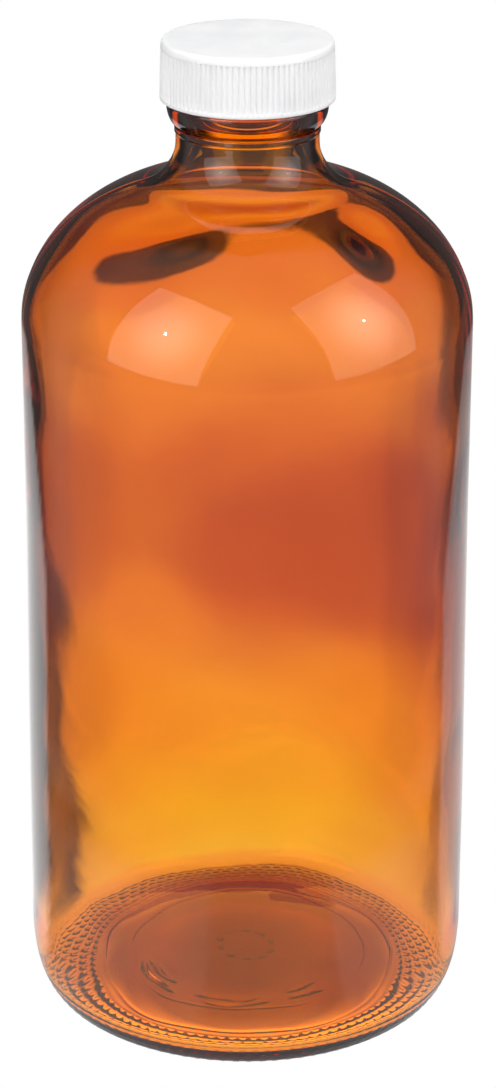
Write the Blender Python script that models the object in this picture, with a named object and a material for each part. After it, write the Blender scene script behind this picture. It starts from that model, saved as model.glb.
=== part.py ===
"""A one-litre amber reagent bottle of the Boston round shape, closed by a ribbed screw cap.

Four pieces, each its own object: the moulded glass bottle, the cap's shell and the two discs of its liner.
The frame has its origin at the centre of the circle that the bottle stands on, with +Z up the neck. Sizes are
in millimetres and become metres when a mesh is made. The cap's finish follows the common 33-400 screw neck.
"""

import math

import bmesh
import bpy

MM = 0.001
FULL_TURN = 2 * math.pi

# Driving sizes of the bottle's outside.
HEEL_RADIUS = 47.25
PANEL_RADIUS = 46.6
SHOULDER_HEIGHT = 151.1
NECK_RADIUS = 14.55
RIM_HEIGHT = 207.0
BODY_WALL = 2.75
BORE_RADIUS = 10.6

# The heel, the shoulder and their insides are quarter ellipses: (across, up).
HEEL_CORNER = (5.3, 15.0)
SHOULDER_DOME = (38.0, 31.6)
NECK_FILLET = 8.6
PANEL_LEAN_FROM = 17.0
PANEL_LEAN_OVER = 82.0
INNER_CORNER = (5.5, 7.5)
INNER_DOME = (36.0, 28.6)
INNER_FILLET = 13.0

# The base: a flat bearing ring round a shallow dome that is pushed up inside.
BEARING_RING_RADIUS = 34.0
PUSH_UP = 3.2
FLOOR_CENTRE_HEIGHT = 7.1
FLOOR_EDGE_HEIGHT = 3.9

# The neck finish. From the rim to the bead's widest ring is the finish's H, 9.9 mm.
COLLAR_RADIUS = 14.75
COLLAR_HEIGHT = 191.6
GROOVE_RADIUS = 13.9
GROOVE_HEIGHT = 192.5
BEAD_RADIUS = 16.4
BEAD_HEIGHT = 197.1
BEAD_ROUND = 0.9
FINISH_RADIUS = 14.7
FINISH_FOOT_HEIGHT = 198.3
RIM_ROUND = 1.0

# Thread, right-handed, six turns to the inch.
THREAD_PITCH = 25.4 / 6
THREAD_CREST_RADIUS = 15.9
THREAD_START_ANGLE = math.radians(200)
THREAD_START_HEIGHT = 204.9
THREAD_TURNS = 1.05
THREAD_ROOT_WIDTH = 2.3
THREAD_CREST_WIDTH = 1.0
THREAD_FADE = math.radians(30)
THREAD_BURIED = 0.5

# The cap. Its top corner is a quarter ellipse, as those of the bottle are.
CAP_BOTTOM = 197.95
CAP_TOP = 210.0
CAP_TOP_RADIUS = 17.45
CAP_BOTTOM_RADIUS = 17.7
CAP_CORNER = (0.6, 1.5)
CAP_LIP = 0.75
CAP_LIP_CHAMFER = 0.3
CAP_INNER_RADIUS = 16.3
CAP_CEILING = 208.9
RIB_COUNT = 96
RIB_DEPTH = 0.3
RIB_RUN_OUT = 0.15
CAP_THREAD_CREST_RADIUS = 15.05
CAP_THREAD_BELOW = 1.7
CAP_THREAD_LEAD_IN = math.radians(70)
CAP_THREAD_TURNS = 1.12
CAP_THREAD_ROOT_WIDTH = 1.8
CAP_THREAD_CREST_WIDTH = 0.8

# The liner's two discs.
LINER_RADIUS = 15.9
FACING_BOTTOM = 207.3
FACING_THICKNESS = 0.25
BACKING_BOTTOM = 207.8
BACKING_THICKNESS = 0.85

BOTTLE_SEGMENTS = 48
LINER_SEGMENTS = 40
THREAD_STEPS_PER_TURN = 36
HALVINGS = 50
SHARP_EDGE = math.radians(35)


def clear_scene():
    for item in list(bpy.data.objects):
        bpy.data.objects.remove(item)


def make_material(name, colour, roughness, transmission=0.0, ior=1.5):
    material = bpy.data.materials.new(name)
    material.use_nodes = True
    shader = material.node_tree.nodes["Principled BSDF"]
    shader.inputs["Base Color"].default_value = (*colour, 1.0)
    shader.inputs["Roughness"].default_value = roughness
    shader.inputs["Metallic"].default_value = 0.0
    shader.inputs["Transmission Weight"].default_value = transmission
    shader.inputs["IOR"].default_value = ior
    return material


def make_object(name, mesh_builder, material=None):
    mesh = bpy.data.meshes.new(name)
    mesh_builder.to_mesh(mesh)
    mesh_builder.free()
    mesh.shade_smooth()
    mesh.set_sharp_from_angle(angle=SHARP_EDGE)
    item = bpy.data.objects.new(name, mesh)
    bpy.context.scene.collection.objects.link(item)
    if material is not None:
        mesh.materials.append(material)
    return item


def ease(share):
    """A smooth step from 0 to 1."""
    share = min(max(share, 0.0), 1.0)
    return share * share * (3 - 2 * share)


def elliptic_arc(centre, across, up, start, end, steps):
    """Points (radius, height) of an ellipse from one angle to another, both ends included."""
    points = []
    for step in range(steps + 1):
        angle = start + (end - start) * step / steps
        points.append((centre[0] + across * math.cos(angle), centre[1] + up * math.sin(angle)))
    return points


def shoulder_to_neck(body_radius, dome, fillet, neck_radius, dome_steps, fillet_steps):
    """The dome of the shoulder and the hollow round that carries it into the neck, from the body upwards.

    The round's centre stands one fillet radius off the neck, where it is also one fillet radius off the dome.
    """
    across, up = dome
    low, high = 0.0, math.pi / 2
    for _ in range(HALVINGS):
        middle = (low + high) / 2
        lean = math.hypot(math.cos(middle) / across, math.sin(middle) / up)
        centre_radius = body_radius - across + across * math.cos(middle)
        centre_radius += fillet * math.cos(middle) / across / lean
        if centre_radius > neck_radius + fillet:
            low = middle
        else:
            high = middle
    touch_radius = body_radius - across + across * math.cos(low)
    touch_height = SHOULDER_HEIGHT + up * math.sin(low)
    round_height = touch_height + fillet * math.sin(low) / up / lean
    dome_centre = (body_radius - across, SHOULDER_HEIGHT)
    points = elliptic_arc(dome_centre, across, up, 0.0, low, dome_steps)
    round_centre = (neck_radius + fillet, round_height)
    touch_angle = math.atan2(touch_height - round_height, touch_radius - round_centre[0])
    points += elliptic_arc(round_centre, fillet, fillet, touch_angle, -math.pi, fillet_steps)[1:]
    return points


def panel(steps):
    """The straight side, which leans in a little above the heel's contact ring."""
    points = []
    for step in range(1, steps + 1):
        height = PANEL_LEAN_FROM + PANEL_LEAN_OVER * step / steps
        radius = HEEL_RADIUS + (PANEL_RADIUS - HEEL_RADIUS) * ease(step / steps)
        points.append((radius, height))
    return points


def bottle_outside():
    """The outside's outline from the middle of the base to the bore's mouth."""
    dome_steps = 4
    points = []
    for step in range(dome_steps):
        share = step / dome_steps
        points.append((BEARING_RING_RADIUS * share, PUSH_UP * (1 - share**3)))
    points.append((BEARING_RING_RADIUS, 0.0))
    across, up = HEEL_CORNER
    heel_centre = (HEEL_RADIUS - across, up)
    points += elliptic_arc(heel_centre, across, up, -math.pi / 2, 0.0, 6)
    points += panel(4)
    points += shoulder_to_neck(
        PANEL_RADIUS, SHOULDER_DOME, NECK_FILLET, NECK_RADIUS, dome_steps=8, fillet_steps=4
    )
    points.append((COLLAR_RADIUS, COLLAR_HEIGHT))
    bead_hang = BEAD_HEIGHT - GROOVE_HEIGHT
    bead_reach = BEAD_RADIUS - GROOVE_RADIUS
    points += elliptic_arc((GROOVE_RADIUS, BEAD_HEIGHT), bead_reach, bead_hang, -math.pi / 2, 0.0, 4)
    points.append((BEAD_RADIUS - BEAD_ROUND, BEAD_HEIGHT + BEAD_ROUND))
    points.append((FINISH_RADIUS, FINISH_FOOT_HEIGHT))
    rim_centre = RIM_HEIGHT - RIM_ROUND
    points += elliptic_arc((FINISH_RADIUS - RIM_ROUND, rim_centre), RIM_ROUND, RIM_ROUND, 0.0, math.pi / 2, 3)
    mouth = elliptic_arc((BORE_RADIUS + RIM_ROUND, rim_centre), RIM_ROUND, RIM_ROUND, math.pi / 2, math.pi, 3)
    return points + mouth


def bottle_inside():
    """The inside's outline from the bore down to the middle of the floor."""
    inner_radius = PANEL_RADIUS - BODY_WALL
    going_up = shoulder_to_neck(
        inner_radius, INNER_DOME, INNER_FILLET, BORE_RADIUS, dome_steps=6, fillet_steps=4
    )
    points = going_up[::-1]
    across, up = INNER_CORNER
    corner_centre = (inner_radius - across, FLOOR_EDGE_HEIGHT + up)
    points += elliptic_arc(corner_centre, across, up, 0.0, -math.pi / 2, 5)
    floor_steps = 3
    rise = FLOOR_CENTRE_HEIGHT - FLOOR_EDGE_HEIGHT
    for step in range(1, floor_steps + 1):
        share = 1 - step / floor_steps
        points.append((corner_centre[0] * share, FLOOR_EDGE_HEIGHT + rise * (1 - share**2)))
    return points


def add_ring(builder, radii, height):
    """A ring of vertices, one for each radius in turn."""
    ring = []
    for index, radius in enumerate(radii):
        angle = FULL_TURN * index / len(radii)
        place = (radius * math.cos(angle) * MM, radius * math.sin(angle) * MM, height * MM)
        ring.append(builder.verts.new(place))
    return ring


def turned(outline, segments, rib_depths=None):
    """A closed body turned about Z from an outline that starts and ends on the axis.

    It runs out along the underside, up the outside and back to the axis, so that its faces point out. Where a
    point has a rib depth, every second vertex of its ring is set in by that much.
    """
    builder = bmesh.new()
    rings = []
    for index, (radius, height) in enumerate(outline[1:-1], start=1):
        depth = rib_depths[index] if rib_depths else 0.0
        radii = [radius - depth * (step % 2) for step in range(segments)]
        rings.append(add_ring(builder, radii, height))
    first = builder.verts.new((0.0, 0.0, outline[0][1] * MM))
    last = builder.verts.new((0.0, 0.0, outline[-1][1] * MM))
    for step in range(segments):
        after = (step + 1) % segments
        builder.faces.new((first, rings[0][after], rings[0][step]))
        for lower, upper in zip(rings, rings[1:]):
            builder.faces.new((lower[step], lower[after], upper[after], upper[step]))
        builder.faces.new((last, rings[-1][step], rings[-1][after]))
    return builder


def thread_ridge(name, wall, crest, root_width, crest_width, start_angle, start_height, turns):
    """A helical ridge that grows out of a round wall, running down from its start and fading at both ends.

    Its root is buried in the wall, which lies outside the ridge when the crest's radius is the smaller one.
    """
    outward = 1.0 if crest > wall else -1.0
    buried = wall - outward * THREAD_BURIED
    hidden_crest = wall - outward * THREAD_BURIED / 2
    steps = round(turns * THREAD_STEPS_PER_TURN)
    builder = bmesh.new()
    sections = []
    for step in range(steps + 1):
        travel = turns * FULL_TURN * step / steps
        angle = start_angle - travel
        height = start_height - THREAD_PITCH * travel / FULL_TURN
        fade = ease(min(travel, turns * FULL_TURN - travel) / THREAD_FADE)
        tip = hidden_crest + (crest - hidden_crest) * fade
        corners = (
            (buried, -root_width / 2),
            (tip, -crest_width / 2),
            (tip, crest_width / 2),
            (buried, root_width / 2),
        )
        section = []
        for radius, offset in corners:
            place = (radius * math.cos(angle) * MM, radius * math.sin(angle) * MM, (height + offset) * MM)
            section.append(builder.verts.new(place))
        sections.append(section)
    for before, after in zip(sections, sections[1:]):
        for corner in range(4):
            beside = (corner + 1) % 4
            builder.faces.new((before[corner], before[beside], after[beside], after[corner]))
    builder.faces.new(sections[0][::-1])
    builder.faces.new(sections[-1])
    bmesh.ops.recalc_face_normals(builder, faces=builder.faces)
    ridge = make_object(name, builder)
    ridge.hide_render = True
    ridge.display_type = "WIRE"
    return ridge


def join_ridge(item, ridge):
    union = item.modifiers.new("thread", "BOOLEAN")
    union.operation = "UNION"
    union.solver = "EXACT"
    union.object = ridge


def make_glass_bottle():
    glass = make_material("amber_glass", (0.86, 0.29, 0.03), 0.02, transmission=1.0, ior=1.52)
    bottle = make_object("glass_bottle", turned(bottle_outside() + bottle_inside(), BOTTLE_SEGMENTS), glass)
    ridge = thread_ridge(
        "neck_thread_ridge",
        FINISH_RADIUS,
        THREAD_CREST_RADIUS,
        THREAD_ROOT_WIDTH,
        THREAD_CREST_WIDTH,
        THREAD_START_ANGLE,
        THREAD_START_HEIGHT,
        THREAD_TURNS,
    )
    join_ridge(bottle, ridge)
    return bottle


def cap_outline():
    """The cap's outline, from the middle of its ceiling down the inside, round the lip and up to the top.

    Each point is (radius, height, rib depth).
    """
    across, up = CAP_CORNER
    rib_top = CAP_TOP - up
    rib_bottom = CAP_BOTTOM + CAP_LIP
    points = [
        (0.0, CAP_CEILING, 0.0),
        (CAP_INNER_RADIUS, CAP_CEILING, 0.0),
        (CAP_INNER_RADIUS, CAP_BOTTOM + CAP_LIP_CHAMFER, 0.0),
        (CAP_INNER_RADIUS + CAP_LIP_CHAMFER, CAP_BOTTOM, 0.0),
        (CAP_BOTTOM_RADIUS - CAP_LIP_CHAMFER, CAP_BOTTOM, 0.0),
        (CAP_BOTTOM_RADIUS, CAP_BOTTOM + CAP_LIP_CHAMFER, 0.0),
        (CAP_BOTTOM_RADIUS, rib_bottom, 0.0),
        (CAP_BOTTOM_RADIUS, rib_bottom + RIB_RUN_OUT, RIB_DEPTH),
        (CAP_TOP_RADIUS, rib_top - RIB_RUN_OUT, RIB_DEPTH),
    ]
    corner_centre = (CAP_TOP_RADIUS - across, rib_top)
    for radius, height in elliptic_arc(corner_centre, across, up, 0.0, math.pi / 2, 3):
        points.append((radius, height, 0.0))
    points.append((0.0, CAP_TOP, 0.0))
    return points


def make_cap():
    white = make_material("cap_polypropylene", (0.83, 0.83, 0.84), 0.38)
    outline = cap_outline()
    profile = [(radius, height) for radius, height, _ in outline]
    depths = [depth for _, _, depth in outline]
    cap = make_object("cap_shell", turned(profile, 2 * RIB_COUNT, depths), white)
    lead_in_rise = THREAD_PITCH * CAP_THREAD_LEAD_IN / FULL_TURN
    ridge = thread_ridge(
        "cap_thread_ridge",
        CAP_INNER_RADIUS,
        CAP_THREAD_CREST_RADIUS,
        CAP_THREAD_ROOT_WIDTH,
        CAP_THREAD_CREST_WIDTH,
        THREAD_START_ANGLE + CAP_THREAD_LEAD_IN,
        THREAD_START_HEIGHT - CAP_THREAD_BELOW + lead_in_rise,
        CAP_THREAD_TURNS,
    )
    join_ridge(cap, ridge)
    return cap


def make_disc(name, bottom, thickness, colour, roughness):
    """A flat disc of the liner, its centre on the axis."""
    outline = [
        (0.0, bottom),
        (LINER_RADIUS, bottom),
        (LINER_RADIUS, bottom + thickness),
        (0.0, bottom + thickness),
    ]
    return make_object(name, turned(outline, LINER_SEGMENTS), make_material(name, colour, roughness))


clear_scene()
make_glass_bottle()
make_cap()
make_disc("liner_backing", BACKING_BOTTOM, BACKING_THICKNESS, (0.80, 0.80, 0.78), 0.75)
make_disc("liner_facing", FACING_BOTTOM, FACING_THICKNESS, (0.86, 0.86, 0.85), 0.35)
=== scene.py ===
"""Looks of the amber reagent bottle: its glass, ribbed cap and liner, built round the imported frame.

Shapes are worked out in millimetres and become metres when a mesh is made.
"""

import math

import bpy
import numpy as np
from mathutils import Matrix, Vector


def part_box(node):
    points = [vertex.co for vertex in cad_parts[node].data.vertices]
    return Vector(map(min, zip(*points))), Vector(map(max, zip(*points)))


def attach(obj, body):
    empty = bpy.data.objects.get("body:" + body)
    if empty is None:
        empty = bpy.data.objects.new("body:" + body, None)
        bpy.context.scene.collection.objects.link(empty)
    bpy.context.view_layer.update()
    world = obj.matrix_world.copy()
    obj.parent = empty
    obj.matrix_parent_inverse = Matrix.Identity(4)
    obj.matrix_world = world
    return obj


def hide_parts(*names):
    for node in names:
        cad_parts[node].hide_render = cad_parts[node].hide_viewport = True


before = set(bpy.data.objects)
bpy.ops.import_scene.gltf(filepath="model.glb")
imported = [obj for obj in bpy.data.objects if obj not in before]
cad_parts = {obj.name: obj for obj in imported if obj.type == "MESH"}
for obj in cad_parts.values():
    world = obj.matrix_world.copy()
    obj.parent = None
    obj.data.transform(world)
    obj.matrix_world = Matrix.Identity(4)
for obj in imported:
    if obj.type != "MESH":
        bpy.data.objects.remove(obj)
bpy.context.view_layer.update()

MM = 0.001
FULL_TURN = 2 * math.pi

_, glass_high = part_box("glass_bottle")
cap_low, cap_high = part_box("cap_shell")
backing_low, backing_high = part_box("liner_backing")
facing_low, facing_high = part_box("liner_facing")

# The outside of the bottle, whose width and height are the frame's.
HEEL_RADIUS = glass_high.x / MM
RIM_HEIGHT = glass_high.z / MM
PANEL_RADIUS = HEEL_RADIUS - 0.65
SHOULDER_HEIGHT = RIM_HEIGHT - 55.9
NECK_RADIUS = 14.55
HEEL_CORNER = (5.3, 15.0)
BEARING_RING_RADIUS = 34.0
PUSH_UP = 3.2
SHOULDER_DOME = (38.0, 31.6)
NECK_FILLET = 8.6
PANEL_LEAN_FROM = 30.0
PANEL_LEAN_OVER = 105.0

# The inside of the bottle.
BODY_WALL = 2.75
BORE_RADIUS = 10.6
INNER_CORNER = (2.6, 3.0)
INNER_DOME = (36.0, 28.6)
INNER_FILLET = 17.0
FLOOR_CENTRE_HEIGHT = 7.1
FLOOR_EDGE_HEIGHT = 3.5
# Thicker places in the shoulder's wall: angle, radius, half length around, half height, rise and tilt.
SHOULDER_LUMPS = (
    (math.radians(-129), 29.0, 11.0, 12.0, 1.8, 0.25),
    (math.radians(-39), 30.5, 7.5, 8.5, 0.98, 0.25),
)
LUMP_SLOPE = 1.4
LUMP_UNEVENNESS = 4
WALL_FADE_FROM = 14.0
WALL_FADE_OVER = 20.0
FLOOR_CALM_RADIUS = 8.0

# The neck finish.
COLLAR_RADIUS = 14.8
COLLAR_HEIGHT = RIM_HEIGHT - 14.7
COLLAR_ROUND = 0.3
PARTING_DROP = 1.0
GROOVE_RADIUS = 13.9
BEAD_RADIUS = 16.4
BEAD_HEIGHT = RIM_HEIGHT - 9.9
BEAD_ROUND = 0.9
FINISH_RADIUS = 14.7
FINISH_FOOT_HEIGHT = RIM_HEIGHT - 8.7
RIM_ROUND = 1.0
THREAD_PITCH = 25.4 / 6
THREAD_CREST_RADIUS = 15.9
THREAD_START_ANGLE = math.radians(200)
THREAD_START_HEIGHT = RIM_HEIGHT - 2.1
THREAD_TURNS = 1.05
THREAD_WIDTHS = (2.3, 1.0)
THREAD_FADE = math.radians(30)

# Moulding marks on the bottle.
SEAM_HEIGHT = 0.07
SEAM_WIDTH = 0.35
FINISH_SEAM_SHARE = 0.5
SKIN_SINK = 0.13
SKIN_FADE_AT_HEEL = 8.0
SKIN_FADE_AT_NECK = 4.0
STIPPLE_FROM = 33.0
STIPPLE_PITCH = 1.75
STIPPLE_ROWS = 9
STIPPLE_HEIGHT = 0.46
STIPPLE_LOSS_ON_HEEL = 0.85
STIPPLE_AROUND = 97
CRESCENT_HALF_LENGTH = 1.0
CRESCENT_HALF_WIDTH = 0.36
CRESCENT_SAG = 0.7
PLATE_LINES = (25.8, 32.0)
PLATE_LINE_HEIGHT = 0.3
PLATE_LINE_WIDTH = 0.28
CHILL_RIPPLES = (21.6, 22.9, 24.0)
CHILL_PLACE = math.radians(-112)
CHILL_REACH = math.radians(75)
CHILL_FADE = math.radians(40)
CHILL_HEIGHT = 0.8
CHILL_WIDTH = 0.5
DASH_RING_RADIUS = 6.0
DASHES = 10
DASH_HALF_LENGTH = 0.8
DASH_HALF_WIDTH = 0.55
DASH_HEIGHT = 0.5
MARK_EDGE = 0.35

# The cap.
CAP_BOTTOM = cap_low.z / MM
CAP_TOP = cap_high.z / MM
CAP_BOTTOM_RADIUS = cap_high.x / MM
CAP_TOP_RADIUS = CAP_BOTTOM_RADIUS - 0.25
CAP_CORNER = (0.6, 1.5)
CAP_LIP = 0.75
CAP_LIP_ROUND = 0.3
CAP_INNER_RADIUS = 16.3
CAP_CEILING = CAP_TOP - 1.1
RIB_COUNT = 96
RIB_DEPTH = 0.3
RIB_RUN_OUT = 0.3
RIB_ROUNDNESS = 0.8
CAP_THREAD_CREST_RADIUS = 15.05
CAP_THREAD_BELOW = 1.7
CAP_THREAD_LEAD_IN = math.radians(70)
CAP_THREAD_TURNS = 1.12
CAP_THREAD_WIDTHS = (1.8, 0.8)

# How fine the meshes are. The joint offsets are angles to either side of a mould joint.
BODY_SEGMENTS = 132
JOINT_OFFSETS = (-0.0125, -0.006, 0.006, 0.0125)
DISC_SEGMENTS = 96
FINE = 4
HALVINGS = 50


def ease(share):
    """A smooth step from 0 to 1, for numbers or arrays."""
    share = np.clip(share, 0.0, 1.0)
    return share * share * (3 - 2 * share)


def wrap(angle):
    """An angle brought to within half a turn of zero."""
    return (angle + math.pi) % FULL_TURN - math.pi


def arc(centre, across, up, start, end, spacing):
    """Points (radius, height) of an ellipse from one angle to another, about one spacing apart."""
    length = abs(end - start) * (across + up) / 2
    steps = max(2, math.ceil(length / spacing))
    angles = np.linspace(start, end, steps + 1)
    return np.column_stack((centre[0] + across * np.cos(angles), centre[1] + up * np.sin(angles)))


def straight(start, end, spacing):
    length = math.dist(start, end)
    steps = max(1, math.ceil(length / spacing))
    return np.linspace(start, end, steps + 1)


def shoulder_to_neck(body_radius, dome, fillet, neck_radius, spacing):
    """The dome of the shoulder and the hollow round that carries it into the neck, from the body upwards.

    The round's centre stands one fillet radius off the neck, where it is as far off the dome.
    """
    across, up = dome
    low, high = 0.0, math.pi / 2
    for _ in range(HALVINGS):
        middle = (low + high) / 2
        lean = math.hypot(math.cos(middle) / across, math.sin(middle) / up)
        centre_radius = body_radius - across + across * math.cos(middle)
        centre_radius += fillet * math.cos(middle) / across / lean
        if centre_radius > neck_radius + fillet:
            low = middle
        else:
            high = middle
    touch_radius = body_radius - across + across * math.cos(low)
    touch_height = SHOULDER_HEIGHT + up * math.sin(low)
    round_centre = (neck_radius + fillet, touch_height + fillet * math.sin(low) / up / lean)
    points = arc((body_radius - across, SHOULDER_HEIGHT), across, up, 0.0, low, spacing)
    touch_angle = math.atan2(touch_height - round_centre[1], touch_radius - round_centre[0])
    hollow = arc(round_centre, fillet, fillet, touch_angle, -math.pi, spacing / 2)
    return np.vstack((points, hollow[1:]))


def waves(seed, count, around, along, amplitude):
    """A smooth unevenness over (angle, distance along the outline): sine waves drawn from a seed."""
    draw = np.random.default_rng(seed)
    turns = draw.integers(around[0], around[1] + 1, count)
    runs = FULL_TURN / draw.uniform(along[0], along[1], count)
    phases = draw.uniform(0, FULL_TURN, (count, 2))
    sizes = draw.uniform(0.5, 1.0, count)
    sizes *= amplitude / math.sqrt((sizes**2).sum() / 2)

    def height(angles, run):
        total = np.zeros(np.broadcast(angles, run).shape)
        for turn, rate, (first, second), size in zip(turns, runs, phases, sizes):
            total += size * np.sin(turn * angles + first + rate * run * np.sin(second))
        return total

    return height


wall_waves = waves(seed=11, count=14, around=(1, 5), along=(60.0, 160.0), amplitude=0.035)
shoulder_waves = waves(seed=23, count=16, around=(3, 12), along=(14.0, 45.0), amplitude=0.06)
floor_waves = waves(seed=37, count=14, around=(2, 9), along=(12.0, 30.0), amplitude=0.03)
skin_waves = waves(seed=41, count=12, around=(1, 6), along=(40.0, 120.0), amplitude=0.02)


def seam_relief(angles, radius):
    """The mould's two vertical joint lines, at the left and right."""
    distance = radius * np.minimum(np.abs(wrap(angles)), np.abs(wrap(angles - math.pi)))
    return SEAM_HEIGHT * np.exp(-((distance / SEAM_WIDTH) ** 2))


def helix_ridge(angles, height, start_angle, start_height, turns, widths, rise):
    """How far a thread that runs down from its start stands off its wall."""
    root, crest = widths
    travel = (start_angle - angles) % FULL_TURN
    tallest = np.zeros(np.broadcast(angles, height).shape)
    for lap in range(math.ceil(turns) + 1):
        total = travel + FULL_TURN * lap
        centre = start_height - THREAD_PITCH * total / FULL_TURN
        side = ease((root / 2 - np.abs(height - centre)) / (root / 2 - crest / 2))
        fade = ease(total / THREAD_FADE) * ease((turns * FULL_TURN - total) / THREAD_FADE)
        tallest = np.maximum(tallest, rise * side * fade)
    return tallest


def crescent_relief(angles, radius, run):
    """Staggered rows of small raised crescents, sunk so that only their tops reach the plain surface."""
    row = np.floor(run / STIPPLE_PITCH)
    across = run - (row + 0.5) * STIPPLE_PITCH
    place = (angles * STIPPLE_AROUND / FULL_TURN + 0.5 * (row % 2)) % 1.0 - 0.5
    along = place * FULL_TURN * radius / STIPPLE_AROUND
    bend = CRESCENT_SAG * (0.5 - (along / CRESCENT_HALF_LENGTH) ** 2)
    ridge = np.exp(-(((across - bend) / CRESCENT_HALF_WIDTH) ** 2))
    ridge *= ease((CRESCENT_HALF_LENGTH - np.abs(along)) / MARK_EDGE)
    whole = STIPPLE_ROWS * STIPPLE_PITCH
    edge = ease(run / STIPPLE_PITCH) * ease((whole - run) / STIPPLE_PITCH)
    on_heel = ease((run - (HEEL_RADIUS - HEEL_CORNER[0] - STIPPLE_FROM)) / STIPPLE_PITCH)
    return STIPPLE_HEIGHT * (1 - STIPPLE_LOSS_ON_HEEL * on_heel) * edge * (ridge - 1)


def plate_relief(angles, radius, run):
    """The base plate's ring lines, its ring of dashes and the chill ripples on its front left."""
    relief = np.zeros(np.broadcast(angles, radius).shape)
    for line in PLATE_LINES:
        wander = 0.25 * np.sin(5 * angles + line) + 0.15 * np.sin(11 * angles + 2 * line)
        strength = 0.6 + 0.4 * np.sin(3 * angles + line)
        ring = np.exp(-(((radius - line - wander) / PLATE_LINE_WIDTH) ** 2))
        relief += PLATE_LINE_HEIGHT * strength * ring
    front_left = ease((CHILL_REACH - np.abs(wrap(angles - CHILL_PLACE))) / CHILL_FADE)
    for line in CHILL_RIPPLES:
        wander = 0.5 * np.sin(4 * angles + 3 * line) + 0.25 * np.sin(13 * angles + line)
        broken = ease(0.6 + np.sin(7 * angles + 5 * line))
        ripple = np.exp(-(((radius - line - wander) / CHILL_WIDTH) ** 2))
        relief += CHILL_HEIGHT * front_left * broken * ripple
    place = (angles * DASHES / FULL_TURN) % 1.0 - 0.5
    along = place * FULL_TURN * DASH_RING_RADIUS / DASHES
    dash = ease((DASH_HALF_LENGTH - np.abs(along)) / MARK_EDGE)
    dash *= ease((DASH_HALF_WIDTH - np.abs(radius - DASH_RING_RADIUS)) / MARK_EDGE)
    return relief + DASH_HEIGHT * dash


def skin_relief(angles, radius, run):
    """The outside's unevenness and joints, sunk so that nothing stands past the plain outline."""
    fade = ease(run / SKIN_FADE_AT_HEEL) * ease((radius - NECK_RADIUS) / SKIN_FADE_AT_NECK)
    return fade * (skin_waves(angles, run) + seam_relief(angles, radius) - SKIN_SINK)


def finish_relief(angles, radius, run):
    rise = THREAD_CREST_RADIUS - FINISH_RADIUS
    height = FINISH_FOOT_HEIGHT + run
    ridge = helix_ridge(
        angles, height, THREAD_START_ANGLE, THREAD_START_HEIGHT, THREAD_TURNS, THREAD_WIDTHS, rise
    )
    return ridge + FINISH_SEAM_SHARE * seam_relief(angles, radius)


def wall_relief(angles, radius, run):
    """The blown inside: gently uneven all over, with two thicker places in the shoulder."""
    small = shoulder_waves(angles, run)
    relief = wall_waves(angles, run) + small
    for angle, at_radius, half_around, half_up, rise, tilt in SHOULDER_LUMPS:
        aside = radius * wrap(angles - angle)
        around = aside / half_around
        up = LUMP_SLOPE * (radius - at_radius + tilt * aside) / half_up
        relief += rise * (1 + LUMP_UNEVENNESS * small) * np.exp(-(around**2) - up**2)
    return ease((radius - WALL_FADE_FROM) / WALL_FADE_OVER) * relief


def floor_relief(angles, radius, run):
    return ease(radius / FLOOR_CALM_RADIUS) * floor_waves(angles, run)


def body_angles():
    """Even steps round the bottle, with more of them across each mould joint."""
    angles = list(np.arange(BODY_SEGMENTS) * FULL_TURN / BODY_SEGMENTS)
    for joint in (0.0, math.pi):
        for offset in JOINT_OFFSETS:
            angles.append((joint + offset) % FULL_TURN)
    return np.sort(np.array(angles))


def finer(angles, times):
    """The same angles with each gap split evenly."""
    gaps = np.diff(np.append(angles, angles[0] + FULL_TURN))
    steps = np.arange(times) / times
    return (angles[:, None] + gaps[:, None] * steps).ravel()


def outline_normals(points):
    """Directions (radius, height) out of a body whose outline runs from its underside up its outside."""
    ahead = np.gradient(points, axis=0)
    normals = np.column_stack((ahead[:, 1], -ahead[:, 0]))
    return normals / np.linalg.norm(normals, axis=1)[:, None]


def join_sections(sections):
    """Rings of a turned body from sections (points, angles, relief).

    Each section starts where the last one ends, and that repeated start is left out.
    """
    outline = np.vstack([points[1 if index else 0:] for index, (points, _, _) in enumerate(sections)])
    normals = outline_normals(outline)
    rings = []
    at = 0
    for index, (points, angles, relief) in enumerate(sections):
        kept = points[1 if index else 0:]
        steps = np.linalg.norm(np.diff(points, axis=0), axis=1)
        runs = np.concatenate(([0.0], np.cumsum(steps)))[1 if index else 0:]
        for (radius, height), run in zip(kept, runs):
            out = relief(angles, radius, run) if relief else np.zeros(len(angles))
            around = radius + normals[at, 0] * out
            up = height + normals[at, 1] * out
            rings.append(np.column_stack((around * np.cos(angles), around * np.sin(angles), up)) * MM)
            at += 1
    return rings


def skin_between(lower, upper, starts):
    """Faces between two rings, where one may have a whole number of times the other's vertices."""
    count, above = len(lower), len(upper)
    faces = []
    coarse = min(count, above)
    parts = (count // coarse, above // coarse)
    for step in range(coarse):
        first = [starts[0] + (step * parts[0] + part) % count for part in range(parts[0] + 1)]
        second = [starts[1] + (step * parts[1] + part) % above for part in range(parts[1] + 1)]
        if count == above:
            faces.append((*first, *reversed(second)))
            continue
        many, few = (first, second) if count > above else (second, first)
        middle = (len(many) - 1) // 2
        fans = [(many[part], many[part + 1], few[0]) for part in range(middle)]
        fans.append((few[0], many[middle], many[middle + 1], few[1]))
        fans += [(many[part], many[part + 1], few[1]) for part in range(middle + 1, len(many) - 1)]
        if count < above:
            fans = [face[::-1] for face in fans]
        else:
            fans[middle] = (few[1], few[0], many[middle], many[middle + 1])
        faces += fans
    return faces


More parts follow.
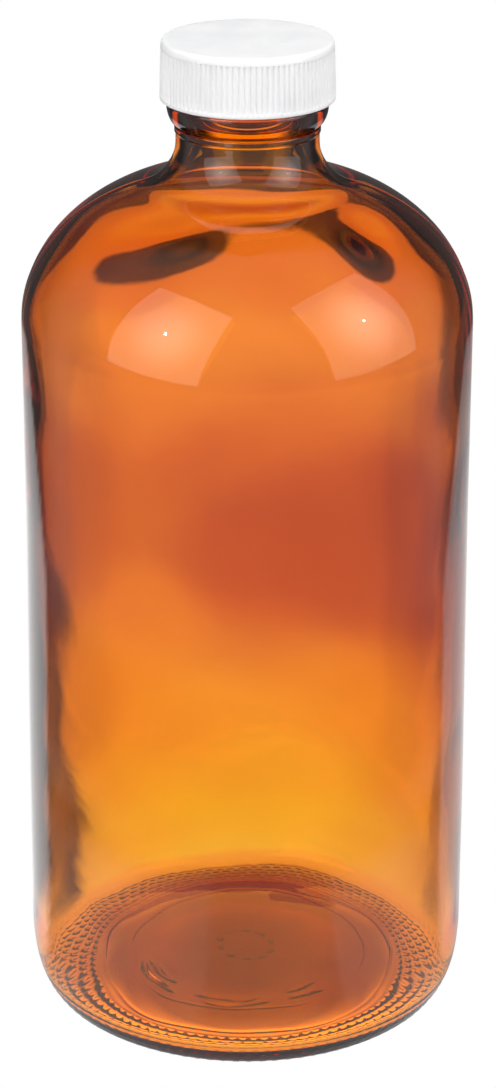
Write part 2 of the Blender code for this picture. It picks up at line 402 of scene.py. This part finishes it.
def turned(name, sections):
    """A closed smooth body turned about Z, whose first and last rings become one point each on the axis."""
    rings = join_sections(sections)
    rings[0] = rings[0].mean(axis=0)[None, :]
    rings[-1] = rings[-1].mean(axis=0)[None, :]
    starts = np.concatenate(([0], np.cumsum([len(ring) for ring in rings])))
    faces = []
    second = len(rings[1])
    for step in range(second):
        faces.append((0, starts[1] + (step + 1) % second, starts[1] + step))
    for index in range(1, len(rings) - 2):
        faces += skin_between(rings[index], rings[index + 1], (starts[index], starts[index + 1]))
    last = len(rings[-2])
    for step in range(last):
        faces.append((starts[-2], starts[-3] + step, starts[-3] + (step + 1) % last))
    mesh = bpy.data.meshes.new(name)
    mesh.from_pydata(np.vstack(rings).tolist(), [], [tuple(int(v) for v in face) for face in faces])
    mesh.validate()
    mesh.shade_smooth()
    piece = bpy.data.objects.new(name, mesh)
    bpy.context.scene.collection.objects.link(piece)
    return piece


def plate_radii():
    """Rings of the base plate, closer together where it carries its marks."""
    stretches = (
        np.linspace(0.0, STIPPLE_FROM, 24),
        np.arange(DASH_RING_RADIUS - 1.0, DASH_RING_RADIUS + 1.1, 0.2),
        np.arange(CHILL_RIPPLES[0] - 1.0, PLATE_LINES[0] + 0.8, 0.22),
        np.arange(PLATE_LINES[1] - 0.8, STIPPLE_FROM, 0.16),
    )
    return np.unique(np.concatenate(stretches).round(2))


def bottle_outside(angles):
    """Sections of the outside, from the middle of the base to the rim."""
    push_radii = plate_radii()
    push_up = PUSH_UP * (1 - (push_radii / BEARING_RING_RADIUS) ** 3)
    plate = np.column_stack((push_radii, push_up))
    ring_edge = HEEL_RADIUS - HEEL_CORNER[0]
    heel_centre = (ring_edge, HEEL_CORNER[1])
    rise_start = (STIPPLE_FROM, push_up[-1])
    ring = np.vstack((
        straight(rise_start, (BEARING_RING_RADIUS, 0.0), 0.25),
        straight((BEARING_RING_RADIUS, 0.0), (ring_edge, 0.0), 0.25)[1:],
    ))
    heel = arc(heel_centre, *HEEL_CORNER, -math.pi / 2, 0.0, 0.25)
    runs = np.concatenate(([0.0], np.cumsum(np.linalg.norm(np.diff(heel, axis=0), axis=1))))
    ring_length = np.linalg.norm(np.diff(ring, axis=0), axis=1).sum()
    stippled = heel[runs <= STIPPLE_ROWS * STIPPLE_PITCH - ring_length]
    ring = np.vstack((ring, stippled[1:]))
    upper_start = math.asin((stippled[-1][1] - HEEL_CORNER[1]) / HEEL_CORNER[1])
    upper_heel = arc(heel_centre, *HEEL_CORNER, upper_start, 0.0, 0.7)
    heights = np.linspace(HEEL_CORNER[1], SHOULDER_HEIGHT, 36)
    lean = ease((heights - PANEL_LEAN_FROM) / PANEL_LEAN_OVER)
    panel = np.column_stack((HEEL_RADIUS + (PANEL_RADIUS - HEEL_RADIUS) * lean, heights))
    shoulder = shoulder_to_neck(PANEL_RADIUS, SHOULDER_DOME, NECK_FILLET, NECK_RADIUS, 1.2)
    body = np.vstack((upper_heel, panel[1:], shoulder[1:]))
    return [
        (plate, angles, plate_relief),
        (ring, finer(angles, FINE), crescent_relief),
        (body, angles, skin_relief),
        (neck_outline(shoulder[-1]), angles, None),
        (finish_outline(), angles, finish_relief),
        (rim_outline(), angles, None),
    ]


def neck_outline(start):
    """From the top of the hollow over the parting lines, the collar, the groove and the bead."""
    parting = COLLAR_HEIGHT - PARTING_DROP
    corner = (COLLAR_RADIUS - COLLAR_ROUND, COLLAR_HEIGHT)
    groove = (GROOVE_RADIUS, COLLAR_HEIGHT + COLLAR_ROUND)
    hang = BEAD_HEIGHT - groove[1]
    foot = (FINISH_RADIUS, FINISH_FOOT_HEIGHT)
    return np.vstack((
        straight(start, (NECK_RADIUS, parting - 0.1), 0.4),
        [(NECK_RADIUS + 0.06, parting - 0.03), (COLLAR_RADIUS, parting + 0.12)],
        straight((COLLAR_RADIUS, parting + 0.3), (COLLAR_RADIUS, COLLAR_HEIGHT - 0.05), 0.3),
        arc(corner, COLLAR_ROUND, COLLAR_ROUND, 0.0, math.pi / 2, 0.15),
        arc((GROOVE_RADIUS, BEAD_HEIGHT), BEAD_RADIUS - GROOVE_RADIUS, hang, -math.pi / 2, 0.0, 0.35),
        arc((BEAD_RADIUS - BEAD_ROUND, BEAD_HEIGHT), BEAD_ROUND, BEAD_ROUND, 0.0, math.pi / 2, 0.3)[1:],
        straight((BEAD_RADIUS - BEAD_ROUND - 0.15, BEAD_HEIGHT + BEAD_ROUND + 0.02), foot, 0.25),
    ))


def finish_outline():
    return straight((FINISH_RADIUS, FINISH_FOOT_HEIGHT), (FINISH_RADIUS, RIM_HEIGHT - RIM_ROUND), 0.3)


def rim_outline():
    height = RIM_HEIGHT - RIM_ROUND
    outer = arc((FINISH_RADIUS - RIM_ROUND, height), RIM_ROUND, RIM_ROUND, 0.0, math.pi / 2, 0.25)
    inner = arc((BORE_RADIUS + RIM_ROUND, height), RIM_ROUND, RIM_ROUND, math.pi / 2, math.pi, 0.25)
    return np.vstack((outer, inner))


def bottle_inside(angles):
    """Sections of the inside, from the bore down to the middle of the floor."""
    inner_radius = PANEL_RADIUS - BODY_WALL
    up = shoulder_to_neck(inner_radius, INNER_DOME, INNER_FILLET, BORE_RADIUS, 1.2)
    bore = straight((BORE_RADIUS, RIM_HEIGHT - RIM_ROUND), up[-1], 1.6)
    corner_centre = (inner_radius - INNER_CORNER[0], FLOOR_EDGE_HEIGHT + INNER_CORNER[1])
    wall = straight(up[0], (inner_radius, corner_centre[1]), 3.6)
    corner = arc(corner_centre, *INNER_CORNER, 0.0, -math.pi / 2, 0.9)
    radii = np.linspace(corner_centre[0], 0.0, 26)
    rise = FLOOR_CENTRE_HEIGHT - FLOOR_EDGE_HEIGHT
    floor = np.column_stack((radii, FLOOR_EDGE_HEIGHT + rise * (1 - (radii / corner_centre[0]) ** 2)))
    inside = np.vstack((bore, up[::-1][1:], wall[1:]))
    return [
        (inside, angles, wall_relief),
        (np.vstack((corner, floor[1:])), angles, floor_relief),
    ]


def make_bottle():
    angles = body_angles()
    return turned("amber_bottle", bottle_outside(angles) + bottle_inside(angles))


def rib_relief(angles, radius, run):
    """Round-topped ribs that run out a little above the lip and below the smooth band."""
    rib_length = CAP_TOP - CAP_CORNER[1] - CAP_BOTTOM - CAP_LIP
    ends = ease(run / RIB_RUN_OUT) * ease((rib_length - run) / RIB_RUN_OUT)
    return RIB_DEPTH * ends * (np.abs(np.cos(RIB_COUNT * angles / 2)) ** RIB_ROUNDNESS - 1)


def cap_thread_relief(angles, radius, run):
    """The cap's own thread, run measured down from the ceiling's corner."""
    lead_in_rise = THREAD_PITCH * CAP_THREAD_LEAD_IN / FULL_TURN
    return helix_ridge(
        angles,
        CAP_CEILING - run,
        THREAD_START_ANGLE + CAP_THREAD_LEAD_IN,
        THREAD_START_HEIGHT - CAP_THREAD_BELOW + lead_in_rise,
        CAP_THREAD_TURNS,
        CAP_THREAD_WIDTHS,
        CAP_INNER_RADIUS - CAP_THREAD_CREST_RADIUS,
    )


def make_cap():
    coarse = np.arange(2 * RIB_COUNT) * FULL_TURN / (2 * RIB_COUNT)
    fine = finer(coarse, FINE)
    rib_bottom = CAP_BOTTOM + CAP_LIP
    rib_top = CAP_TOP - CAP_CORNER[1]
    lip = CAP_BOTTOM + CAP_LIP_ROUND
    ceiling = straight((0.0, CAP_CEILING), (CAP_INNER_RADIUS, CAP_CEILING), 1.6)
    bore = straight((CAP_INNER_RADIUS, CAP_CEILING), (CAP_INNER_RADIUS, lip), 0.2)
    lip_round = (CAP_LIP_ROUND, CAP_LIP_ROUND)
    inner_lip = arc((CAP_INNER_RADIUS + CAP_LIP_ROUND, lip), *lip_round, -math.pi, -math.pi / 2, 0.15)
    outer_lip = arc((CAP_BOTTOM_RADIUS - CAP_LIP_ROUND, lip), *lip_round, -math.pi / 2, 0.0, 0.12)
    under = np.vstack((inner_lip, outer_lip, [(CAP_BOTTOM_RADIUS, rib_bottom)]))
    heights = np.concatenate((
        np.linspace(rib_bottom, rib_bottom + RIB_RUN_OUT, 4),
        np.linspace(rib_bottom + RIB_RUN_OUT, rib_top - RIB_RUN_OUT, 8)[1:],
        np.linspace(rib_top - RIB_RUN_OUT, rib_top, 4)[1:],
    ))
    lean = (heights - rib_bottom) / (rib_top - rib_bottom)
    ribs = np.column_stack((CAP_BOTTOM_RADIUS + (CAP_TOP_RADIUS - CAP_BOTTOM_RADIUS) * lean, heights))
    top_corner = arc((CAP_TOP_RADIUS - CAP_CORNER[0], rib_top), *CAP_CORNER, 0.0, math.pi / 2, 0.14)
    top = straight(tuple(top_corner[-1]), (0.0, CAP_TOP), 1.4)
    return turned("ribbed_cap", [
        (ceiling, coarse, None),
        (bore, coarse, cap_thread_relief),
        (under, coarse, None),
        (ribs, fine, rib_relief),
        (top_corner, coarse, None),
        (top, coarse, None),
    ])


def make_disc(name, low, high, edge):
    """A thin disc with a rounded edge between two heights."""
    radius, bottom, top = high.x / MM, low.z / MM, high.z / MM
    angles = np.arange(DISC_SEGMENTS) * FULL_TURN / DISC_SEGMENTS
    under = straight((0.0, bottom), (radius - edge, bottom), 1.2)
    lower = arc((radius - edge, bottom + edge), edge, edge, -math.pi / 2, 0.0, edge / 3)
    upper = arc((radius - edge, top - edge), edge, edge, 0.0, math.pi / 2, edge / 3)
    over = straight((radius - edge, top), (0.0, top), 1.2)
    return turned(name, [(np.vstack((under, lower[1:], upper, over[1:])), angles, None)])


def new_material(name):
    material = bpy.data.materials.new(name)
    material.use_nodes = True
    return material, material.node_tree.nodes, material.node_tree.links


def noise(nodes, links, scale, detail, seed=0.0):
    """A noise texture in the piece's own metres, as many waves to the metre as its scale."""
    place = nodes.new("ShaderNodeTexCoord")
    shift = nodes.new("ShaderNodeVectorMath")
    shift.operation = "ADD"
    shift.inputs[1].default_value = (seed, 0.7 * seed, 1.3 * seed)
    links.new(place.outputs["Object"], shift.inputs[0])
    texture = nodes.new("ShaderNodeTexNoise")
    texture.inputs["Scale"].default_value = scale
    texture.inputs["Detail"].default_value = detail
    links.new(shift.outputs["Vector"], texture.inputs["Vector"])
    return texture.outputs["Fac"]


def spread(nodes, links, source, low, high, start=0.35, end=0.65):
    """A value between low and high that follows a texture."""
    reach = nodes.new("ShaderNodeMapRange")
    reach.inputs["From Min"].default_value = start
    reach.inputs["From Max"].default_value = end
    reach.inputs["To Min"].default_value = low
    reach.inputs["To Max"].default_value = high
    links.new(source, reach.inputs["Value"])
    return reach.outputs["Result"]


def tint(nodes, links, source, first, second, start=0.35, end=0.65):
    """A colour between two that follows a texture."""
    ramp = nodes.new("ShaderNodeValToRGB")
    ramp.color_ramp.elements[0].position = start
    ramp.color_ramp.elements[0].color = (*first, 1.0)
    ramp.color_ramp.elements[1].position = end
    ramp.color_ramp.elements[1].color = (*second, 1.0)
    links.new(source, ramp.inputs["Fac"])
    return ramp.outputs["Color"]


def bump(nodes, links, source, distance, before=None):
    """A bump whose full height is the distance, in metres."""
    node = nodes.new("ShaderNodeBump")
    node.inputs["Strength"].default_value = 1.0
    node.inputs["Distance"].default_value = distance
    links.new(source, node.inputs["Height"])
    if before is not None:
        links.new(before, node.inputs["Normal"])
    return node.outputs["Normal"]


def amber_glass():
    material, nodes, links = new_material("amber_glass_clear")
    shader = nodes["Principled BSDF"]
    shader.inputs["Transmission Weight"].default_value = 1.0
    shader.inputs["IOR"].default_value = 1.52
    cords = noise(nodes, links, 40.0, 2.0)
    colour = tint(nodes, links, cords, (0.97, 0.965, 0.955), (1.0, 1.0, 1.0))
    links.new(colour, shader.inputs["Base Color"])
    dust = noise(nodes, links, 260.0, 3.0, seed=3.0)
    links.new(spread(nodes, links, dust, 0.0, 0.025), shader.inputs["Roughness"])
    skin = bump(nodes, links, noise(nodes, links, 120.0, 2.0, seed=5.0), 0.00002)
    links.new(skin, shader.inputs["Normal"])
    volume = nodes.new("ShaderNodeVolumeAbsorption")
    volume.inputs["Color"].default_value = (0.951, 0.789, 0.133, 1.0)
    volume.inputs["Density"].default_value = 900.0
    links.new(volume.outputs["Volume"], nodes["Material Output"].inputs["Volume"])
    return material


def cap_plastic():
    material, nodes, links = new_material("white_polypropylene")
    shader = nodes["Principled BSDF"]
    shader.inputs["IOR"].default_value = 1.49
    cloud = noise(nodes, links, 90.0, 4.0)
    colour = tint(nodes, links, cloud, (0.80, 0.80, 0.81), (0.86, 0.86, 0.865))
    links.new(colour, shader.inputs["Base Color"])
    scuff = noise(nodes, links, 420.0, 5.0, seed=2.0)
    links.new(spread(nodes, links, scuff, 0.32, 0.5), shader.inputs["Roughness"])
    grain = bump(nodes, links, noise(nodes, links, 2600.0, 3.0, seed=4.0), 0.000012)
    sink = bump(nodes, links, noise(nodes, links, 60.0, 1.0, seed=6.0), 0.00006, before=grain)
    links.new(sink, shader.inputs["Normal"])
    shader.inputs["Subsurface Weight"].default_value = 0.15
    shader.inputs["Subsurface Radius"].default_value = (1.0, 0.9, 0.8)
    shader.inputs["Subsurface Scale"].default_value = 0.0015
    return material


def liner_foam():
    material, nodes, links = new_material("foamed_polyethylene")
    shader = nodes["Principled BSDF"]
    cells = noise(nodes, links, 3200.0, 3.0)
    colour = tint(nodes, links, cells, (0.74, 0.74, 0.72), (0.86, 0.86, 0.84))
    links.new(colour, shader.inputs["Base Color"])
    links.new(spread(nodes, links, cells, 0.6, 0.85), shader.inputs["Roughness"])
    links.new(bump(nodes, links, cells, 0.00006), shader.inputs["Normal"])
    return material


def liner_ptfe():
    material, nodes, links = new_material("ptfe_film")
    shader = nodes["Principled BSDF"]
    shader.inputs["IOR"].default_value = 1.38
    skive = nodes.new("ShaderNodeTexWave")
    skive.inputs["Scale"].default_value = 900.0
    skive.inputs["Distortion"].default_value = 2.0
    place = nodes.new("ShaderNodeTexCoord")
    links.new(place.outputs["Object"], skive.inputs["Vector"])
    film = noise(nodes, links, 500.0, 3.0)
    colour = tint(nodes, links, film, (0.84, 0.84, 0.83), (0.9, 0.9, 0.89))
    links.new(colour, shader.inputs["Base Color"])
    links.new(spread(nodes, links, film, 0.25, 0.4), shader.inputs["Roughness"])
    links.new(bump(nodes, links, skive.outputs["Fac"], 0.000008), shader.inputs["Normal"])
    return material


def fit(piece, material, body, node):
    piece.data.materials.append(material)
    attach(piece, body)
    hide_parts(node)


# The stage. The camera sees plain white. The glass mirrors one set of surroundings and looks through to
# another: glowing sheets with painted light and painted shade, as flags and cards round a real set would
# give it, and with the bottle's own painted shadow. Distances are in metres.
CAMERA_DISTANCE = 0.64766
CAMERA_HEIGHT = 0.36647
CAMERA_PITCH = math.radians(22.286)
CAMERA_TURN = math.radians(0.0229)
CAMERA_ROLL = math.radians(0.122)
LENS = 109.27
SENSOR_WIDTH = 36.0
WORLD_GREY = 0.03
FLOOR_REACH = 3.0
BACKDROP_RADIUS = 4.0
FLOOR_DROP = 0.0006
TABLE_REACH = 1.5
MIRRORED_DROP = 0.0003
THROUGH_DROP = 0.0043
# How bright the table is, by distance from the bottle's axis, and how warm: its green for the same red.
# Near the axis it is dark and red: the bottle's painted shadow under its base.
TABLE_THROUGH = (
    (0.0, 0.16), (0.014, 0.2), (0.018, 0.3), (0.0224, 0.43), (0.028, 0.48), (0.032, 0.54), (0.036, 0.95),
    (0.04, 1.3), (0.081, 1.4), (0.138, 1.33), (0.205, 1.25), (0.324, 1.12), (0.371, 1.15), (0.476, 1.27),
    (0.56, 1.2), (0.78, 1.15), (0.9, 0.14), (1.5, 0.08),
)
TABLE_WARMTH = (
    (0.0, 0.14), (0.014, 0.18), (0.023, 0.32), (0.03, 0.42), (0.036, 0.75), (0.055, 0.74), (0.081, 1.1),
    (0.108, 0.93), (0.138, 0.76), (0.17, 0.68), (0.205, 0.62), (0.281, 0.6), (0.324, 0.53), (0.5, 0.55),
    (0.6, 0.47), (1.5, 0.45),
)
# How bright the mirrored table is behind and in front of the bottle, by distance from its axis: painted
# light and painted shade for the glass to reflect.
BACK_MIRRORED = (
    (0.0, 0.5), (0.045, 0.6), (0.07, 1.3), (0.28, 1.25), (0.36, 0.9), (0.44, 0.6), (0.5, 0.15), (0.7, 0.05),
)
FRONT_MIRRORED = (
    (0.0, 0.5), (0.042, 0.55), (0.07, 1.0), (0.085, 1.15), (0.12, 1.1), (0.14, 0.5), (0.18, 0.3),
    (0.23, 0.34), (0.29, 0.55), (0.4, 0.56), (1.5, 0.55),
)
BACK_RIGHT_SHARE = 0.7
CARD_PLACE = 0.65
CARD_SPAN = 0.5
CARD_HEIGHTS = (0.23, 0.75)
CARD_HALF_WIDTH = 0.14
CARD_EDGE = 0.08
CARD_LEVEL = 1.7
CARD_WARMTH = 0.85
ROOM_RADIUS = 1.6
ROOM_LEVEL = 0.55
ROOM_REACH = (-115, 115)
ROOM_EDGE = 30
ROOM_DIM = 0.2
LAMP_POINTS = 25
LAMP_DISTANCE = 0.5
LAMP_CORE_AHEAD = 0.01
OVERHEAD_REACH = 0.7
OVERHEAD_HEIGHT = 1.1
OVERHEAD_LEVEL = 2.2


def emission(name):
    """A material that gives off the light its mesh's colours hold."""
    material, nodes, links = new_material(name)
    nodes.remove(nodes["Principled BSDF"])
    glow = nodes.new("ShaderNodeEmission")
    light = nodes.new("ShaderNodeAttribute")
    light.attribute_name = "light"
    links.new(light.outputs["Color"], glow.inputs["Color"])
    links.new(glow.outputs["Emission"], nodes["Material Output"].inputs["Surface"])
    return material


def glow_sheet(name, places, light, seen_by):
    """A sheet of light from a grid of points and their colours, seen only by the named kinds of ray."""
    rows, columns = places.shape[:2]
    corner = np.arange((rows - 1) * columns).reshape(rows - 1, columns)[:, :-1].ravel()
    faces = np.column_stack((corner, corner + 1, corner + columns + 1, corner + columns))
    mesh = bpy.data.meshes.new(name)
    mesh.from_pydata(places.reshape(-1, 3).tolist(), [], faces.tolist())
    colours = np.ones((rows * columns, 4))
    colours[:, :3] = light.reshape(-1, 3)
    layer = mesh.color_attributes.new("light", "FLOAT_COLOR", "POINT")
    layer.data.foreach_set("color", colours.ravel())
    mesh.materials.append(emission(name))
    item = bpy.data.objects.new(name, mesh)
    bpy.context.scene.collection.objects.link(item)
    item.visible_camera = "camera" in seen_by
    item.visible_diffuse = "diffuse" in seen_by
    item.visible_glossy = "glossy" in seen_by
    item.visible_transmission = "transmission" in seen_by
    item.visible_shadow = False
    return item


def grey(level):
    """The same level in all three colours."""
    return np.repeat(np.asarray(level)[..., None], 3, axis=-1)


def level_at(distance, steps):
    """A smooth curve through (distance, level) steps."""
    level = np.full(distance.shape, steps[0][1])
    for (near, first), (far, second) in zip(steps, steps[1:]):
        share = ease((distance - near) / (far - near))
        level = np.where(distance > near, first + (second - first) * share, level)
    return level


def patch(value, low, high, soft):
    """One between two limits and zero outside them, with soft edges."""
    return ease((value - low) / soft + 0.5) * ease((high - value) / soft + 0.5)


def disc_grid(reach, rings=90, segments=144):
    distances = reach * np.linspace(0.0, 1.0, rings) ** 2
    angles = np.linspace(0.0, FULL_TURN, segments + 1)
    x = distances[:, None] * np.cos(angles)
    y = distances[:, None] * np.sin(angles)
    return x, y, distances[:, None] * np.ones(segments + 1)


def past(value, start, over):
    """A smooth step up that begins where a value passes the start."""
    return ease((value - start) / over)


def short_of(value, end, over):
    """A smooth step down that is over where a value reaches the end."""
    return ease((end - value) / over)


def ball_directions(turn, lift):
    """Unit directions by their turn from the camera's side and their lift above level."""
    flat = np.cos(lift)
    return np.stack((np.sin(turn) * flat, -np.cos(turn) * flat, np.sin(lift) + 0 * turn), axis=-1)


def white_surround():
    """A pale floor and a white backdrop that only the camera sees."""
    x, y, _ = disc_grid(FLOOR_REACH, rings=8, segments=64)
    floor = np.stack((x, y, np.full(x.shape, -FLOOR_DROP)), axis=-1)
    glow_sheet("studio_floor", floor, np.ones(floor.shape), {"camera"})
    turn = np.linspace(0.0, FULL_TURN, 49)[None, :]
    lift = np.linspace(math.pi / 2, -math.pi / 2, 25)[:, None]
    backdrop = BACKDROP_RADIUS * ball_directions(turn, lift)
    glow_sheet("studio_backdrop", backdrop, np.ones(backdrop.shape), {"camera"})


def room_dimming(turn):
    """Full light on the camera's side and little behind the bottle, by the turn from the camera's side."""
    return ROOM_DIM + (1 - ROOM_DIM) * patch(turn, *ROOM_REACH, ROOM_EDGE)


def mirrored_table():
    """The table as the glass mirrors it, with its back part seen along the bottle's two sides: a glowing
    sheet with painted shade and a painted highlight.
    """
    x, y, distance = disc_grid(TABLE_REACH)
    turn = np.degrees(np.arctan2(x, -y))
    # Painted shade on the table in front of the bottle's middle and close beside and behind it, and a
    # painted highlight round the front of its foot.
    painted_shade_middle = 0.3 * patch(turn, -15, 36, 3) * patch(distance, 0.06, 0.135, 0.02)
    painted_shade_sides = 0.7 * past(np.abs(turn), 60, 40) * short_of(distance, 0.16, 0.03)
    foot_gleam = 0.25 * patch(distance, 0.047, 0.062, 0.006) * patch(turn, -80, 80, 30)
    front = level_at(distance, FRONT_MIRRORED) * (1 - painted_shade_middle) * room_dimming(turn)
    front = front * (1 - painted_shade_sides) + foot_gleam
    back = level_at(distance, BACK_MIRRORED) * np.where(x > 0, BACK_RIGHT_SHARE, 1.0)

    # How far the bright back part reaches to either side of straight back, which narrows with distance.
    half_angle = 54 + 2.36 / np.maximum(distance, 0.05) - 125 * np.maximum(distance - 0.27, 0.0)
    half_angle += np.where(x > 0, 4.5, 0.0)
    from_back = np.degrees(np.abs(np.arctan2(x, y)))
    behind = short_of(from_back, half_angle, 4)
    places = np.stack((x, y, np.full(x.shape, -MIRRORED_DROP)), axis=-1)
    glow_sheet("table_mirrored", places, grey(front + (back - front) * behind), {"glossy", "diffuse"})


def table_through():
    """The table as it is seen through the glass, a glowing sheet painted with the bottle's shadow: dark and
    red under the base, amber behind it, with a painted crescent of light in front of the base, and ending
    in the dark.
    """
    x, y, distance = disc_grid(TABLE_REACH)
    # Painted shadow under the base, off centre towards the back, and a painted crescent of light on the
    # table just in front of it.
    under = np.hypot(x, y - 0.0095 * short_of(distance, 0.07, 0.03))
    painted_light_crescent = 1.7 * past(under, 0.03, 0.008) * short_of(under, 0.047, 0.008) * short_of(y, 0.0, 0.02)
    level = level_at(under, TABLE_THROUGH) + painted_light_crescent
    warmth = level_at(under, TABLE_WARMTH)

    # The bottle's painted amber shadow behind it, weaker on the left, and painted shade to the right.
    left = short_of(x, 0.0, 0.05)
    shadow = past(distance, 0.145 + 0.04 * left, 0.085) * short_of(distance, 0.42, 0.15)
    shadow *= (1 - 0.5 * left) * past(y, -0.02, 0.05)
    right = past(x, 0.01, 0.04) * past(y, 0.0, 0.04)
    painted_shade_right = patch(x, 0.055, 0.11, 0.03) * patch(y, 0.17, 0.4, 0.07)
    level *= (1 - 0.43 * shadow) * (1 - 0.04 * right) * (1 - 0.15 * painted_shade_right)
    warmth *= (1 - 0.6 * shadow) * (1 - 0.05 * right)

    # The lit part ends on either side along a line that spreads out from the base, at an angle measured
    # from straight back.
    aside = np.degrees(np.arctan2(np.abs(x) - 0.038, np.maximum(y, 0.001)))
    left_end = 0.2 * past(aside, 1, 9) + 0.77 * past(aside, 8 + 8 * past(distance, 0.17, 0.14), 4)
    far = past(distance, 0.26, 0.06)
    right_end = (0.6 + 0.25 * far) * past(aside, 15 - 4 * far, 5)
    level *= 1 - np.where(x < 0, left_end, right_end) * past(y, 0.02, 0.03)
    colour = grey(level)
    colour[..., 1] *= warmth
    places = np.stack((x, y, np.full(x.shape, -THROUGH_DROP)), axis=-1)
    glow_sheet("table_through", places, colour, {"transmission"})


def glowing_card_behind():
    """A glowing warm white card standing behind the bottle, painted light seen only through the glass."""
    across, up = np.meshgrid(np.linspace(-CARD_SPAN, CARD_SPAN, 21), np.linspace(*CARD_HEIGHTS, 9))
    card = np.stack((across, np.full(across.shape, CARD_PLACE), up), axis=-1)
    colour = grey(CARD_LEVEL * patch(across, -CARD_HALF_WIDTH, CARD_HALF_WIDTH, CARD_EDGE))
    colour[..., 1] *= CARD_WARMTH
    glow_sheet("glowing_card_behind", card, colour, {"transmission"})


def mirrored_room():
    """The room over the table as the glass mirrors it."""
    turn = np.linspace(-math.pi, math.pi, 97)[None, :]
    lift = np.linspace(-0.02, math.pi / 2, 17)[:, None]
    level = ROOM_LEVEL * room_dimming(np.degrees(turn) + 0 * lift)
    glow_sheet("room_mirrored", ROOM_RADIUS * ball_directions(turn, lift), grey(level), {"glossy"})


def aim(turn, lift):
    """The direction with this turn from the camera's side and this lift above level, in degrees."""
    return Vector(ball_directions(math.radians(turn), math.radians(lift)).tolist())


def softbox(name, turn, lift, facing, roll, half_sizes, levels, core):
    """An oblong lamp, brighter in its middle, with a small bright core. Angles are in degrees."""
    across = np.linspace(-1.0, 1.0, LAMP_POINTS)[None, :, None]
    up = np.linspace(-1.0, 1.0, LAMP_POINTS)[:, None, None]
    spread_out = np.clip(np.hypot(across, up), 0.0, 1.0)[..., 0]
    light = grey(levels[1] + (levels[0] - levels[1]) * (1 - ease(spread_out)))

    centre = Vector((0.0, 0.0, SHOULDER_HEIGHT * MM)) + aim(turn, lift) * LAMP_DISTANCE
    normal = aim(*facing)
    side = Vector((0.0, 0.0, 1.0)).cross(normal).normalized()
    top = normal.cross(side)
    lean = math.radians(roll)
    right = side * math.cos(lean) + top * math.sin(lean)
    above = top * math.cos(lean) - side * math.sin(lean)
    sheet = half_sizes[0] * across * np.array(right) + half_sizes[1] * up * np.array(above)
    glow_sheet(name, np.array(centre) + sheet, light, {"glossy", "diffuse", "transmission"})

    core_size, core_level = core
    spot = np.array(centre - normal * LAMP_CORE_AHEAD) + core_size * 2 * sheet / sum(half_sizes)
    glow_sheet(name + "_core", spot, grey(np.full(light.shape[:2], core_level)), {"glossy"})


def overhead_light():
    """Soft light from above that only matt surfaces show."""
    x, y, _ = disc_grid(OVERHEAD_REACH, rings=6, segments=32)
    places = np.stack((x, y, np.full(x.shape, OVERHEAD_HEIGHT)), axis=-1)
    glow_sheet("overhead", places, grey(np.full(x.shape, OVERHEAD_LEVEL)), {"diffuse"})


def set_world():
    world = bpy.data.worlds.new("studio")
    bpy.context.scene.world = world
    world.use_nodes = True
    world.node_tree.nodes["Background"].inputs["Color"].default_value = (1.0, 1.0, 1.0, 1.0)
    world.node_tree.nodes["Background"].inputs["Strength"].default_value = WORLD_GREY


def set_camera():
    data = bpy.data.cameras.new("camera")
    data.sensor_width = SENSOR_WIDTH
    data.lens = LENS
    camera = bpy.data.objects.new("camera", data)
    bpy.context.scene.collection.objects.link(camera)
    look = Matrix.Rotation(-CAMERA_TURN, 4, "Z") @ Matrix.Rotation(math.pi / 2 - CAMERA_PITCH, 4, "X")
    look = look @ Matrix.Rotation(CAMERA_ROLL, 4, "Z")
    camera.matrix_world = Matrix.Translation((0.0, -CAMERA_DISTANCE, CAMERA_HEIGHT)) @ look
    bpy.context.scene.camera = camera


def set_render_looks():
    scene = bpy.context.scene
    scene.view_settings.view_transform = "Standard"
    scene.cycles.max_bounces = 24
    scene.cycles.transmission_bounces = 24
    scene.cycles.glossy_bounces = 12


fit(make_bottle(), amber_glass(), "bottle", "glass_bottle")
fit(make_cap(), cap_plastic(), "cap", "cap_shell")
foam_disc = make_disc("liner_foam_disc", backing_low, backing_high, edge=0.15)
fit(foam_disc, liner_foam(), "liner", "liner_backing")
ptfe_disc = make_disc("liner_ptfe_disc", facing_low, facing_high, edge=0.05)
fit(ptfe_disc, liner_ptfe(), "liner", "liner_facing")

white_surround()
mirrored_table()
table_through()
glowing_card_behind()
mirrored_room()
softbox(
    "softbox_left", turn=-42, lift=24, facing=(-43, 12), roll=-9,
    half_sizes=(0.228, 0.3), levels=(4.3, 1.9), core=(0.007, 60.0),
)
softbox(
    "softbox_right", turn=63.5, lift=26, facing=(57.5, 13), roll=6.7,
    half_sizes=(0.229, 0.305), levels=(4.4, 1.6), core=(0.006, 50.0),
)
overhead_light()
set_world()
set_camera()
set_render_looks()
